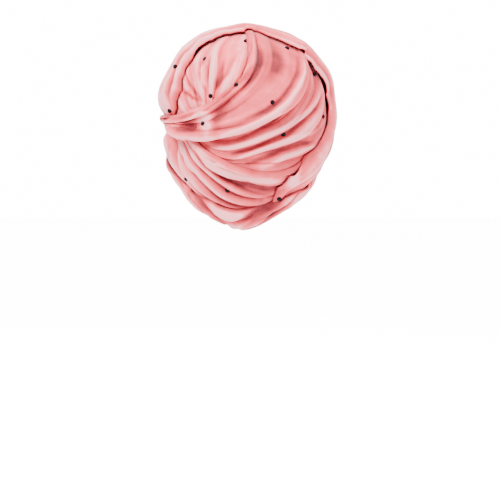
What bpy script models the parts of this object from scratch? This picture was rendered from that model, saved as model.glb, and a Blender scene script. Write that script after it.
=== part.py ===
"""Turban headwrap: velvet bands wound over a cap, gathered to a knot at the wearer's left.

The face looks toward -Y and the wearer's left is +X. The origin is the crown seat, where
the top of the head bears on the inside of the cap. Every piece is a height above the head,
read along a direction from the head's middle. A direction is an azimuth and an elevation in
degrees: azimuth 0 is the back, it grows toward the wearer's right, and 180 is the forehead.
"""
import math

import bmesh
import bpy
import numpy as np
from mathutils import Vector
from mathutils.bvhtree import BVHTree

# Driving dimensions, in metres
HEAD_WIDTH = 0.157       # ear to ear, inside the cap
HEAD_LENGTH = 0.192      # forehead to back, inside the cap
CROWN_RISE = 0.084       # crown above the level where the head is widest
NAPE_DROP = 0.144        # depth of the lower half of the head's form
CAP_WALL = 0.002         # velvet of the cap
EDGE_WALL = 0.0016       # a band at its free edge
FOLD_HEIGHT = 0.008      # the fullest fold above the edge
ROLL_DEPTH = 0.008       # twisted roll at the nape, above its edge
CLEARANCE = 0.0004       # between pieces that touch
STONE_WIDTH = 0.0052     # rhinestone across its flat back
STONE_RISE = 0.0019      # its table above its back
STONE_TABLE = 0.0028     # its table across

# Shares and counts
NECK_TAPER = 0.2         # how much narrower the head is straight below its middle
HEM_TUCK = 2.0           # degrees that the cap stops short of the outer hem
PROFILE = (0.0, 0.16, 0.5, 0.84)    # where a fold's cross-section is sampled
STRIDE = 2               # columns of an outer face for each column of the inner face
CAP_SPOKES = 32
CAP_RINGS = 9
ROLL_STEPS = 43
ROLL_COLUMNS = 9
ROLL_TWISTS = 6.5        # creases between the strands along the roll
ROLL_SLANT = -1.0        # and across it
STRAND_SHARE = 0.6       # depth of those creases, as a share of the roll's depth
STONE_SIDES = 8
FOOTPRINT = (0.15, 0.3, 0.45, 0.55)    # radii where the cloth under a stone is felt, by its width
STONE_SEARCH = (1.0, 2.0)              # degrees away that a flatter spot for a stone is looked for
TAUT_ROUNDS = 24
SHARP_ANGLE = 50         # degrees between faces from which an edge is shaded sharp
SAMPLES = 3              # support samples along each side of a mesh cell
RIM_ROWS_UNDER = 5       # first rows of the rim, which lie under the drape's tail
DRAPE_ROWS_OVER = 9      # first rows of the drape, which lie over the rim's end

MIDDLE = Vector((0.0, 0.0, -CROWN_RISE))

# The outer hem: azimuth without its sign, elevation
HEM = (
    (0, -59), (14, -59), (24, -57), (36, -52), (50, -47), (70, -42),
    (90, -35), (110, -24), (130, -11), (150, 0), (180, 7),
)

# Each band is a table of stations from its gathered end to its far end. A station holds the
# azimuth and elevation of the band's upper edge, the same for its lower edge, and its
# fullness as a share of the fold height. Its folds lie side by side from the upper edge to
# the lower. A fold holds, at five places along the band, its share of the width, its height,
# and how high the crease after it stays, as a share of the lower of the two folds there.
BANDS = {
    "crown_fan": {
        "steps": 12,
        "stations": (
            (-38, -8, -18, 6, 0.15),
            (-50, -6, -9, 14, 0.40),
            (-61, -4, -3, 26, 0.60),
            (-70, 1, 2, 40, 0.65),
            (-77, 7, 6, 54, 0.55),
            (-82, 11, 14, 66, 0.30),
            (-92, 14, 24, 76, 0.15),
        ),
        "folds": (
            ((0.17, 0.17, 0.17, 0.17, 0.18), (0.60, 0.50, 0.50, 0.40, 0.30), (0.35, 0.35, 0.35, 0.35, 0.35)),
            ((0.16, 0.15, 0.15, 0.15, 0.15), (0.80, 0.70, 0.60, 0.50, 0.30), (0.30, 0.30, 0.30, 0.30, 0.30)),
            ((0.15, 0.15, 0.14, 0.15, 0.16), (0.80, 0.70, 0.60, 0.50, 0.30), (0.30, 0.30, 0.30, 0.30, 0.30)),
            ((0.13, 0.12, 0.12, 0.14, 0.15), (1, 1, 0.90, 0.70, 0.40), (0.25, 0.25, 0.25, 0.25, 0.25)),
            ((0.14, 0.13, 0.13, 0.13, 0.14), (1, 1, 1, 0.70, 0.40), (0.25, 0.25, 0.25, 0.25, 0.25)),
            ((0.25, 0.28, 0.29, 0.26, 0.22), (0.70, 0.70, 0.60, 0.50, 0.30), (0.50, 0.50, 0.50, 0.50, 0.50)),
        ),
    },
    "cross_wrap": {
        "steps": 20,
        "stations": (
            (-52, -5, -54, -9, 0.20),
            (-40, -6, -42, -13, 0.35),
            (-30, -7, -31, -19, 0.50),
            (-20, -7, -19, -26, 0.60),
            (-8, -5, -6, -31, 0.65),
            (4, 0, 9, -34, 0.65),
            (16, 6, 29, -35, 0.65),
            (27, 14, 51, -32, 0.65),
            (37, 24, 71, -25, 0.60),
            (45, 36, 87, -13, 0.55),
            (52, 48, 95, 6, 0.35),
            (58, 58, 100, 24, 0.05),
        ),
        "folds": (
            ((0.30, 0.48, 0.26, 0.14, 0.14), (0.40, 0.40, 0.40, 0.40, 0.30), (0.60, 0.60, 0.60, 0.60, 0.60)),
            ((0.30, 0.28, 0.15, 0.16, 0.20), (0.80, 0.90, 0.90, 0.60, 0.40), (0.30, 0.30, 0.30, 0.30, 0.30)),
            ((0.20, 0.16, 0.21, 0.30, 0.30), (0.80, 0.90, 1, 0.90, 0.50), (0.25, 0.25, 0.25, 0.25, 0.25)),
            ((0.10, 0.04, 0.20, 0.28, 0.20), (0.60, 0.60, 0.80, 0.60, 0.40), (0.30, 0.30, 0.30, 0.30, 0.30)),
            ((0.10, 0.04, 0.18, 0.12, 0.16), (0.50, 0.60, 0.85, 0.80, 0.50), (0.30, 0.30, 0.30, 0.30, 0.30)),
        ),
    },
    "nape_wrap": {
        "steps": 18,
        "stations": (
            (-56, -4, -70, -6, 0.00),
            (-49, -7, -90, -10, 0.25),
            (-41, -10, -99, -18, 1.20),
            (-33, -17, -100, -25, 1.40),
            (-25, -22, -90, -35, 1.40),
            (-15, -26, -69, -46, 0.95),
            (-1, -30, -50, -54, 0.65),
            (14, -32, -26, -59, 0.50),
            (29, -31, 4, -59, 0.30),
            (42, -27, 28, -53, 0.10),
            (50, -23, 46, -47, 0.00),
        ),
        "folds": (
            ((0.18, 0.07, 0.21, 0.38, 0.50), (1, 0.60, 1, 0.90, 0.60), (0.30, 0.30, 0.30, 0.30, 0.30)),
            ((0.14, 0.06, 0.11, 0.17, 0.15), (0.80, 0.50, 0.70, 0.60, 0.40), (0.30, 0.30, 0.30, 0.30, 0.30)),
            ((0.14, 0.07, 0.13, 0.13, 0.12), (0.80, 0.60, 0.90, 0.80, 0.50), (0.25, 0.25, 0.25, 0.25, 0.25)),
            ((0.16, 0.12, 0.19, 0.11, 0.10), (0.80, 0.70, 0.90, 0.50, 0.30), (0.25, 0.25, 0.25, 0.25, 0.25)),
            ((0.17, 0.20, 0.17, 0.10, 0.08), (0.80, 1, 0.90, 0.40, 0.30), (0.30, 0.30, 0.30, 0.30, 0.30)),
            ((0.21, 0.48, 0.19, 0.11, 0.05), (0.80, 0.95, 0.70, 0.30, 0.20), (0.30, 0.30, 0.30, 0.30, 0.30)),
        ),
    },
    "brow_wrap": {
        "steps": 20,
        "stations": (
            (-94, 0, -92, -8, 0.00),
            (-101, 6, -98, -19, 0.25),
            (-111, 11, -109, -23, 0.50),
            (-127, 18, -126, -13, 0.60),
            (-145, 24, -146, -2, 0.60),
            (-163, 29, -164, 5, 0.60),
            (180, 31, 180, 7, 0.60),
            (163, 31, 164, 5, 0.60),
            (145, 29, 146, -2, 0.60),
            (128, 25, 129, -11, 0.55),
            (114, 20, 114, -20, 0.35),
            (102, 14, 103, -26, 0.10),
        ),
        "folds": (
            ((0.28, 0.30, 0.30, 0.28, 0.28), (0.80, 0.90, 0.80, 0.70, 0.60), (0.35, 0.35, 0.35, 0.35, 0.35)),
            ((0.22, 0.20, 0.22, 0.26, 0.26), (0.90, 0.80, 0.70, 0.60, 0.50), (0.40, 0.40, 0.40, 0.40, 0.40)),
            ((0.24, 0.24, 0.23, 0.20, 0.22), (0.80, 0.80, 0.90, 0.90, 0.70), (0.30, 0.30, 0.30, 0.30, 0.30)),
            ((0.26, 0.26, 0.25, 0.26, 0.24), (0.90, 0.90, 0.80, 0.80, 0.60), (0.30, 0.30, 0.30, 0.30, 0.30)),
        ),
    },
    "front_wrap": {
        "steps": 16,
        "stations": (
            (-88, 5, -96, 0, 0.00),
            (-92, 20, -102, 6, 0.30),
            (-100, 36, -114, 10, 0.50),
            (-112, 54, -130, 17, 0.50),
            (-140, 66, -149, 23, 0.45),
            (180, 72, -170, 28, 0.40),
            (146, 68, 168, 29, 0.40),
            (124, 57, 147, 27, 0.40),
            (112, 44, 128, 23, 0.25),
            (104, 31, 114, 17, 0.10),
        ),
        "folds": (
            ((0.32, 0.34, 0.36, 0.34, 0.32), (0.60, 0.60, 0.50, 0.50, 0.40), (0.50, 0.50, 0.50, 0.50, 0.50)),
            ((0.24, 0.24, 0.24, 0.22, 0.22), (0.80, 0.80, 0.70, 0.60, 0.50), (0.35, 0.35, 0.35, 0.35, 0.35)),
            ((0.22, 0.20, 0.20, 0.22, 0.24), (0.90, 1, 0.90, 0.80, 0.60), (0.30, 0.30, 0.30, 0.30, 0.30)),
            ((0.22, 0.22, 0.20, 0.22, 0.22), (0.90, 0.90, 1, 0.90, 0.70), (0.30, 0.30, 0.30, 0.30, 0.30)),
        ),
    },
    "crown_drape": {
        "steps": 26,
        "stations": (
            (-114, -4, -114, -8, 0.05),
            (-88, -2, -88, -7, 0.35),
            (-66, -2, -66, -9, 0.65),
            (-48, -1, -47, -11, 0.85),
            (-36, 2, -36, -14, 0.85),
            (-26, 5, -25, -15, 0.75),
            (-19, 9, -13, -13, 0.65),
            (-12, 14, 1, -10, 0.60),
            (-5, 21, 14, -4, 0.60),
            (-1, 30, 27, 3, 0.60),
            (0, 40, 38, 13, 0.55),
            (-1, 50, 47, 26, 0.50),
            (-2, 60, 55, 40, 0.30),
            (-6, 68, 68, 52, 0.12),
            (-14, 75, 86, 60, 0.05),
        ),
        "folds": (
            ((0.45, 0.42, 0.20, 0.16, 0.14), (1, 1, 1, 1, 0.80), (0.35, 0.75, 0.60, 0.45, 0.50)),
            ((0.10, 0.14, 0.24, 0.24, 0.26), (0.40, 0.70, 0.80, 0.70, 0.50), (0.85, 0.95, 1, 1, 1)),
            ((0.10, 0.14, 0.40, 0.46, 0.46), (0.40, 0.80, 0.75, 0.60, 0.50), (0.55, 0.85, 0.85, 0.65, 0.50)),
            ((0.35, 0.30, 0.16, 0.14, 0.14), (0.90, 1, 0.95, 1, 0.80), (0.50, 0.50, 0.50, 0.50, 0.50)),
        ),
    },
    "rim_wrap": {
        "steps": 34,
        "stations": (
            (-58, -3, -104, -5, 0.30),
            (-54, 5, -108, 5, 0.95),
            (-52, 14, -110, 15, 1.20),
            (-54, 27, -114, 28, 1.10),
            (-56, 40, -122, 42, 1.20),
            (-54, 50, -134, 54, 1.00),
            (-40, 59, -154, 63, 0.65),
            (-10, 65, 180, 67, 0.40),
            (22, 61, 160, 64, 0.30),
            (43, 50, 142, 58, 0.45),
            (57, 38, 128, 48, 0.70),
            (67, 25, 120, 36, 0.95),
            (75, 13, 117, 23, 1.00),
            (77, 1, 116, 9, 0.90),
            (73, -9, 115, -4, 0.80),
            (61, -17, 112, -16, 0.70),
            (46, -24, 106, -28, 0.80),
            (37, -29, 92, -38, 0.85),
            (29, -35, 74, -45, 0.65),
            (22, -42, 54, -50, 0.35),
            (18, -51, 32, -53, 0.15),
        ),
        "folds": (
            ((0.30, 0.26, 0.27, 0.28, 0.27), (0.90, 0.90, 0.90, 0.90, 0.80), (0.30, 0.30, 0.30, 0.30, 0.30)),
            ((0.38, 0.42, 0.42, 0.40, 0.38), (1, 1, 1, 0.90, 0.70), (0.35, 0.35, 0.35, 0.35, 0.35)),
            ((0.32, 0.32, 0.31, 0.32, 0.35), (0.90, 0.90, 0.80, 0.70, 0.60), (0.40, 0.40, 0.40, 0.40, 0.40)),
        ),
    },
    "side_knot": {
        "steps": 11,
        "stations": (
            (-109, 4, -118, 5, 0.10),
            (-106, 1, -123, 2, 0.35),
            (-105, -4, -126, -4, 0.50),
            (-105, -9, -126, -10, 0.50),
            (-107, -14, -123, -15, 0.35),
            (-110, -18, -118, -18, 0.10),
        ),
        "folds": (
            ((0.34, 0.30, 0.28, 0.30, 0.36), (0.80, 0.90, 0.90, 0.90, 0.80), (0.30, 0.30, 0.30, 0.30, 0.30)),
            ((0.36, 0.42, 0.44, 0.40, 0.30), (0.90, 1, 1, 1, 0.90), (0.30, 0.30, 0.30, 0.30, 0.30)),
            ((0.30, 0.28, 0.28, 0.30, 0.34), (0.80, 0.80, 0.90, 0.80, 0.80), (0.30, 0.30, 0.30, 0.30, 0.30)),
        ),
    },
}

# Nape roll: azimuth and elevation of its upper and lower edge, and its fullness, at each station
ROLL = (
    (-97, -26, -99, -29, 0.00),
    (-88, -33, -91, -39, 0.40),
    (-76, -40, -79, -46, 0.55),
    (-62, -45, -66, -52, 0.65),
    (-46, -48, -49, -57, 0.90),
    (-28, -51, -31, -62, 1.00),
    (-8, -53, -10, -66, 1.00),
    (12, -51, 14, -63, 0.90),
    (28, -46, 34, -55, 0.60),
    (39, -44, 44, -51, 0.45),
    (52, -44, 56, -51, 0.35),
    (65, -43, 68, -48, 0.25),
    (77, -41, 79, -44, 0.00),
)

# Rhinestones: azimuth and elevation of each
STONES = (
    (-2, 52), (41, 47), (-36, 36), (-62, 29), (64, 27), (-7, 16), (-23, 10), (14, 6), (-59, 1),
    (66, -3), (-26, -6), (22, -13), (-54, -41), (-15, -44), (23, -47), (-108, -5), (-120, 5),
    (-135, 10), (-151, 19), (-167, 12), (178, 22), (163, 11), (143, 8), (-122, 32), (-141, 44),
    (-160, 36), (180, 52), (160, 38), (143, 46), (-98, 22), (-112, 42), (-133, 60), (170, 65),
    (146, 58), (124, 44), (108, 20), (103, -4),
)

VELVET = {"color": (0.86, 0.40, 0.40, 1.0), "roughness": 0.85, "metallic": 0.0}
CRYSTAL = {"color": (0.012, 0.011, 0.013, 1.0), "roughness": 0.12, "metallic": 0.6}


def direction(azimuth, elevation):
    """Unit vector from the head's middle."""
    az, el = math.radians(azimuth), math.radians(elevation)
    return (-math.sin(az) * math.cos(el), math.cos(az) * math.cos(el), math.sin(el))


def unit(vectors):
    """Each vector at length 1."""
    return vectors / np.linalg.norm(vectors, axis=-1, keepdims=True)


def head_radius(dirs):
    """Distance from the head's middle to its surface, an ellipsoid with a deeper lower half."""
    down = np.minimum(dirs[..., 2], 0)
    side = HEAD_WIDTH / 2 * (1 - NECK_TAPER * down ** 2)
    depth = np.full(down.shape, HEAD_LENGTH / 2)
    height = np.where(down < 0, NAPE_DROP, CROWN_RISE)
    return 1 / np.linalg.norm(dirs / np.stack([side, depth, height], axis=-1), axis=-1)


def smooth(rows, places):
    """Catmull-Rom curve through evenly spaced rows, at each place from 0 to 1."""
    rows = np.asarray(rows, dtype=float)
    padded = np.vstack([2 * rows[0] - rows[1], rows, 2 * rows[-1] - rows[-2]])
    spot = np.asarray(places) * (len(rows) - 1)
    start = np.minimum(spot.astype(int), len(rows) - 2)
    t = (spot - start)[:, None]
    a, b, c, d = (padded[start + k] for k in range(4))
    bend = 2 * a - 5 * b + 4 * c - d
    twist = 3 * b - a - 3 * c + d
    return (2 * b + (c - a) * t + bend * t ** 2 + twist * t ** 3) / 2


def hem_elevation(azimuth):
    """Elevation of the outer hem at an azimuth, from -180 to 180."""
    return float(np.interp(abs(azimuth), *zip(*HEM)))


def reach(dirs, trees):
    """Outermost radius of the pieces in trees along each direction, never inside the cap."""
    far = 2 * HEAD_LENGTH
    radii = head_radius(dirs) + CAP_WALL
    for index in np.ndindex(radii.shape):
        ray = Vector(dirs[index])
        for tree in trees:
            hit = tree.ray_cast(MIDDLE + ray * far, -ray, far)
            if hit[0] is not None:
                radii[index] = max(radii[index], far - hit[3])
    return radii


def window_max(values, size):
    """Largest value within size samples each way, read at every size-th sample."""
    padded = np.pad(values, size, mode="edge")
    rows, columns = values.shape
    best = values
    for i in range(2 * size + 1):
        for j in range(2 * size + 1):
            best = np.maximum(best, padded[i:i + rows, j:j + columns])
    return best[::size, ::size]


def taut(dirs, radii):
    """Cloth pulled straight between the peaks of what it covers, its edges along themselves."""
    floor = radii
    for _ in range(TAUT_ROUNDS):
        spots = dirs * radii[..., None]
        mean = spots.copy()
        sides = spots[:-2, 1:-1] + spots[2:, 1:-1] + spots[1:-1, :-2] + spots[1:-1, 2:]
        mean[1:-1, 1:-1] = sides / 4
        for edge in (0, -1):
            mean[1:-1, edge] = (spots[:-2, edge] + spots[2:, edge]) / 2
            mean[edge, 1:-1] = (spots[edge, :-2] + spots[edge, 2:]) / 2
        radii = np.maximum(floor, (mean * dirs).sum(axis=-1))
    return radii


def finer(values, count):
    """Grid of vectors or numbers with count - 1 samples added between neighbours, each way."""
    for axis in (0, 1):
        values = np.moveaxis(values, axis, 0)
        parts = [values[:-1] + (values[1:] - values[:-1]) * k / count for k in range(count)]
        mixed = np.stack(parts, axis=1).reshape(-1, *values.shape[1:])
        values = np.moveaxis(np.concatenate([mixed, values[-1:]]), 0, axis)
    return values


def cell_sag(dirs):
    """Factor by which the cells round each corner of a grid bulge out past their corners."""
    along = np.linalg.norm(np.diff(dirs, axis=0), axis=-1)
    across = np.linalg.norm(np.diff(dirs, axis=1), axis=-1)
    cells = np.hypot(np.maximum(along[:, :-1], along[:, 1:]), np.maximum(across[:-1], across[1:]))
    p = np.pad(cells, 1, mode="edge")
    corners = np.maximum(np.maximum(p[:-1, :-1], p[1:, :-1]), np.maximum(p[:-1, 1:], p[1:, 1:]))
    return 1 / np.cos(corners / 2)


def seat(dirs, trees):
    """Radius of a band's inner face on the pieces below it."""
    samples = reach(unit(finer(dirs, SAMPLES)), trees)
    return taut(dirs, window_max(samples, SAMPLES)) * cell_sag(dirs) + CLEARANCE


def band_surface(table):
    """Directions over a band, and its thickness there."""
    places = np.linspace(0, 1, table["steps"])
    rows = [direction(*s[0:2]) + direction(*s[2:4]) + (s[4],) for s in table["stations"]]
    path = smooth(rows, places)
    upper, lower, fullness = unit(path[:, 0:3]), unit(path[:, 3:6]), path[:, 6]
    folds = table["folds"]
    shares = smooth(np.array([fold[0] for fold in folds]).T, places)
    shares /= shares.sum(axis=1, keepdims=True)
    heights = smooth(np.array([fold[1] for fold in folds]).T, places) * fullness[:, None] * FOLD_HEIGHT
    creases = smooth(np.array([fold[2] for fold in folds]).T, places)
    feet = [0 * fullness]
    for k in range(len(folds) - 1):
        feet.append(np.minimum(heights[:, k], heights[:, k + 1]) * creases[:, k])
    feet.append(0 * fullness)
    dirs, thick = [], []
    across = 0 * fullness
    for k in range(len(folds)):
        for s in PROFILE:
            v = (across + shares[:, k] * s)[:, None]
            dirs.append(unit(upper * (1 - v) + lower * v))
            foot = feet[k] * (1 - s) + feet[k + 1] * s
            crown = math.sqrt(max(0.0, 1 - (2 * s - 1) ** 2))
            thick.append(EDGE_WALL + foot + (heights[:, k] - foot) * crown)
        across = across + shares[:, k]
    dirs.append(lower)
    thick.append(np.full(len(places), EDGE_WALL))
    return np.stack(dirs, axis=1), np.stack(thick, axis=1)


def grid_faces(rows, columns, first, joined=False):
    """Four-sided faces of a grid of points; joined adds those from the last row to the first."""
    faces = []
    for r in range(rows if joined else rows - 1):
        for c in range(columns - 1):
            corners = ((r, c), (r, c + 1), (r + 1, c + 1), (r + 1, c))
            faces.append(tuple(first + i % rows * columns + j for i, j in corners))
    return faces


def closed_shell(outer, inner, joined=False):
    """Faces round an outer grid and an inner grid that has every point, or every few, of it across."""
    rows, wide = outer.shape[:2]
    slim = inner.shape[1]
    points = [Vector(p) for grid in (outer, inner) for p in grid.reshape(-1, 3)]
    first = rows * wide
    faces = grid_faces(rows, wide, 0, joined)
    faces += [face[::-1] for face in grid_faces(rows, slim, first, joined)]
    for out, into, turn in ((0, 0, 1), (wide - 1, slim - 1, -1)):
        for r in range(rows if joined else rows - 1):
            n = (r + 1) % rows
            wall = (r * wide + out, n * wide + out, first + n * slim + into, first + r * slim + into)
            faces.append(wall[::turn])
    if joined:
        return points, faces
    stride = (wide - 1) // (slim - 1)
    half = stride // 2
    for r, turn in ((0, -1), (rows - 1, 1)):
        for c in range(slim - 1):
            near, far = first + r * slim + c, first + r * slim + c + 1
            top = r * wide + c * stride
            fan = [(top + k, top + k + 1, near) for k in range(half)]
            fan += [(top + k, top + k + 1, far) for k in range(half, stride)]
            faces += [face[::turn] for face in fan + [(near, top + half, far)]]
    return points, faces


def make_material(name, look):
    """Principled material from a look."""
    material = bpy.data.materials.new(name)
    material.use_nodes = True
    shader = material.node_tree.nodes["Principled BSDF"]
    shader.inputs["Base Color"].default_value = look["color"]
    shader.inputs["Roughness"].default_value = look["roughness"]
    shader.inputs["Metallic"].default_value = look["metallic"]
    material.diffuse_color = look["color"]
    return material


def add_piece(collection, name, points, faces, look, is_smooth=True):
    """Mesh object with triangulated faces that point out, and the tree used to seat what covers it."""
    mesh = bpy.data.meshes.new(name)
    mesh.from_pydata(points, [], faces)
    work = bmesh.new()
    work.from_mesh(mesh)
    bmesh.ops.triangulate(work, faces=work.faces[:], quad_method="SHORT_EDGE")
    bmesh.ops.recalc_face_normals(work, faces=work.faces[:])
    if work.calc_volume(signed=True) < 0:
        bmesh.ops.reverse_faces(work, faces=work.faces[:])
    work.to_mesh(mesh)
    tree = BVHTree.FromBMesh(work)
    work.free()
    if is_smooth:
        mesh.shade_smooth()
        mesh.set_sharp_from_angle(angle=math.radians(SHARP_ANGLE))
    mesh.materials.append(make_material(name, look))
    collection.objects.link(bpy.data.objects.new(name, mesh))
    return tree


def place(dirs, radii):
    """Points at a radius along each direction."""
    return np.array(MIDDLE) + dirs * radii[..., None]


def crown_cap():
    """Plain cap from the crown to just inside the hem."""
    azimuths = np.linspace(-180, 180, CAP_SPOKES, endpoint=False)
    dirs = []
    for azimuth in azimuths:
        low = hem_elevation(azimuth) + HEM_TUCK
        rings = [90 - (90 - low) * k / CAP_RINGS for k in range(1, CAP_RINGS + 1)]
        dirs.append([direction(azimuth, e) for e in rings])
    dirs = np.array(dirs)
    radii = head_radius(dirs)
    points, faces = closed_shell(place(dirs, radii + CAP_WALL), place(dirs, radii), joined=True)
    faces = [f for f in faces if not all(index % CAP_RINGS == 0 for index in f)]
    half = CAP_SPOKES * CAP_RINGS
    for start, lift, turn in ((0, CAP_WALL, 1), (half, 0.0, -1)):
        points.append(MIDDLE + Vector((0, 0, CROWN_RISE + lift)))
        top = len(points) - 1
        for k in range(CAP_SPOKES):
            a, b = start + k * CAP_RINGS, start + (k + 1) % CAP_SPOKES * CAP_RINGS
            faces.append((top, a, b)[::turn])
    return points, faces


def band(surface, trees, lift=None):
    """Closed band on the pieces in trees; lift holds the least radius of its inner face."""
    dirs, thick = surface
    coarse = dirs[:, ::STRIDE]
    seats = seat(coarse, trees)
    if lift is not None:
        seats = np.maximum(seats, lift)
    parts = [seats[:, :-1] + (seats[:, 1:] - seats[:, :-1]) * k / STRIDE for k in range(STRIDE)]
    below = np.stack(parts, axis=2).reshape(len(seats), -1)
    below = np.concatenate([below, seats[:, -1:]], axis=1)
    return closed_shell(place(dirs, below + thick), place(coarse, seats))


def roll_surface():
    """Directions over the nape roll, and its thickness there: two strands laid slantwise."""
    along = np.linspace(0, 1, ROLL_STEPS)
    path = smooth([direction(*s[0:2]) + direction(*s[2:4]) + (s[4],) for s in ROLL], along)
    upper, lower, fullness = unit(path[:, 0:3]), unit(path[:, 3:6]), path[:, 6]
    dirs, thick = [], []
    for v in np.linspace(0, 1, ROLL_COLUMNS):
        dirs.append(unit(upper * (1 - v) + lower * v))
        strand = np.sqrt(np.abs(np.sin(math.pi * (ROLL_TWISTS * along + ROLL_SLANT * v))))
        crown = math.sqrt(max(0.0, 1 - (2 * v - 1) ** 2))
        thick.append(EDGE_WALL + ROLL_DEPTH * fullness * crown * (1 - STRAND_SHARE + STRAND_SHARE * strand))
    return np.stack(dirs, axis=1), np.stack(thick, axis=1)


def surface_hit(trees, start, ray):
    """Outermost point and outward normal on the line through a point along a ray."""
    far = 2 * HEAD_LENGTH
    limit = far + 3 * STONE_WIDTH
    hits = [tree.ray_cast(start + ray * far, -ray, limit) for tree in trees]
    hits = [hit for hit in hits if hit[0] is not None]
    if not hits:
        return start, ray
    point, normal, _, _ = min(hits, key=lambda hit: hit[3])
    return point, normal if normal.dot(ray) > 0 else -normal


def ring(axis, radius, count, turn=0.0):
    """Evenly spaced steps round an axis; turn is a share of one spacing."""
    side = axis.orthogonal().normalized()
    other = axis.cross(side)
    angles = [2 * math.pi * (k + turn) / count for k in range(count)]
    return [(side * math.cos(a) + other * math.sin(a)) * radius for a in angles]


def stone_seat(trees, ray):
    """Where a stone's back lies along a ray, its normal, and how far it stands off the cloth."""
    point, _ = surface_hit(trees, MIDDLE, ray)
    rings = [STONE_WIDTH * share for share in FOOTPRINT]
    steps = [step for radius in rings for step in ring(ray, radius, 2 * STONE_SIDES)]
    normals = [surface_hit(trees, point + step, ray)[1] for step in steps]
    normal = sum(normals, Vector()).normalized()
    steps = [step for radius in rings for step in ring(normal, radius, 2 * STONE_SIDES)]
    peaks = [surface_hit(trees, point + step, normal)[0] for step in steps]
    heights = [(peak - point).dot(normal) for peak in peaks]
    return point + normal * (max(heights) + CLEARANCE), normal, max(heights) - min(heights)


def rhinestone(trees, azimuth, elevation):
    """Flat-backed stone with a table and a row of facets, on the flattest spot nearby."""
    middle = Vector(direction(azimuth, elevation))
    rays = [middle]
    for away in STONE_SEARCH:
        rays += [middle + step for step in ring(middle, math.radians(away), STONE_SIDES)]
    seats = [stone_seat(trees, ray.normalized()) for ray in rays]
    base, normal, _ = min(seats, key=lambda found: found[2])
    points = [base + step for step in ring(normal, STONE_WIDTH / 2, STONE_SIDES)]
    table = base + normal * STONE_RISE
    points += [table + step for step in ring(normal, STONE_TABLE / 2, STONE_SIDES, 0.5)]
    faces = [tuple(range(STONE_SIDES))[::-1], tuple(range(STONE_SIDES, 2 * STONE_SIDES))]
    for k in range(STONE_SIDES):
        after = (k + 1) % STONE_SIDES
        faces.append((k, after, STONE_SIDES + k))
        faces.append((after, STONE_SIDES + after, STONE_SIDES + k))
    return points, faces


def build():
    """Pieces from the head outward; each band is seated on those before it."""
    for old in list(bpy.data.objects):
        bpy.data.objects.remove(old)
    collection = bpy.data.collections.new("turban_headwrap")
    bpy.context.scene.collection.children.link(collection)
    trees = [add_piece(collection, "crown_cap", *crown_cap(), VELVET)]
    for name in ("crown_fan", "cross_wrap", "nape_wrap", "brow_wrap", "front_wrap"):
        trees.append(add_piece(collection, name, *band(band_surface(BANDS[name]), trees), VELVET))
    drape = band_surface(BANDS["crown_drape"])
    under_rim = BVHTree.FromPolygons(*band(drape, trees))
    rim = band_surface(BANDS["rim_wrap"])
    lift = seat(rim[0][:, ::STRIDE], trees + [under_rim])
    lift[:RIM_ROWS_UNDER] = 0
    rim_tree = add_piece(collection, "rim_wrap", *band(rim, trees, lift), VELVET)
    lift = seat(drape[0][:, ::STRIDE], trees + [rim_tree])
    lift[DRAPE_ROWS_OVER:] = 0
    trees.append(add_piece(collection, "crown_drape", *band(drape, trees, lift), VELVET))
    trees.append(rim_tree)
    trees.append(add_piece(collection, "hem_roll", *band(roll_surface(), trees), VELVET))
    trees.append(add_piece(collection, "side_knot", *band(band_surface(BANDS["side_knot"]), trees), VELVET))
    for number, spot in enumerate(STONES, 1):
        stone = rhinestone(trees, *spot)
        add_piece(collection, f"rhinestone_{number:02d}", *stone, CRYSTAL, is_smooth=False)


build()
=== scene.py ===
"""Looks of the turban headwrap: folded velvet bands wound over a cap, with rhinestones on them.

The face looks toward -Y and the wearer's left is +X. As in the source of the solids, every
piece is a height above the head, read along a direction from the head's middle. A direction
is an azimuth and an elevation in degrees: azimuth 0 is the back, it grows toward the
wearer's right, and 180 is the forehead. Each piece replaces the solid of the same name.
"""
import math

import bpy
import numpy as np
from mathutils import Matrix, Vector, noise
from mathutils.bvhtree import BVHTree


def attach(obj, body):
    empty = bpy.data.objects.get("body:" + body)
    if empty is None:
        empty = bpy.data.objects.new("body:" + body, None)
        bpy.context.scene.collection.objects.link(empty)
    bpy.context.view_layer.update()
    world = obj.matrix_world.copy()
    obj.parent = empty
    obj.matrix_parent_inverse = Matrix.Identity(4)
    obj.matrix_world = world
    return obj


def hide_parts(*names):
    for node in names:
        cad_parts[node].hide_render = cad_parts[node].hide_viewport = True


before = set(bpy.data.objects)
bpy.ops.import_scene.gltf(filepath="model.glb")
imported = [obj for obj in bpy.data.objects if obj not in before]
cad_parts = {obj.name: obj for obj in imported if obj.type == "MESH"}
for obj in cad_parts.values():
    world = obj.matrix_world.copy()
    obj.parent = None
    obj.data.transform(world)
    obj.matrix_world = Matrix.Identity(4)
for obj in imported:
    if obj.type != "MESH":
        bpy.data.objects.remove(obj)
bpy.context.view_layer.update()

# Sizes, in metres where nothing else is said
HEAD_WIDTH = 0.157       # ear to ear, inside the cap
HEAD_LENGTH = 0.192      # forehead to back, inside the cap
CROWN_RISE = 0.084       # crown above the level where the head is widest
NAPE_DROP = 0.144        # depth of the lower half of the head's form
NECK_TAPER = 0.2         # share by which the head narrows straight below its middle
CAP_WALL = 0.002         # velvet of the cap
EDGE_WALL = 0.0024       # a band at its free edge
FOLD_HEIGHT = 0.0105     # the fullest fold above the edge
ROLL_DEPTH = 0.0115      # twisted roll at the nape, above its edge
HEM_TUCK = 2.0           # degrees that the cap stops short of the outer hem

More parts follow.
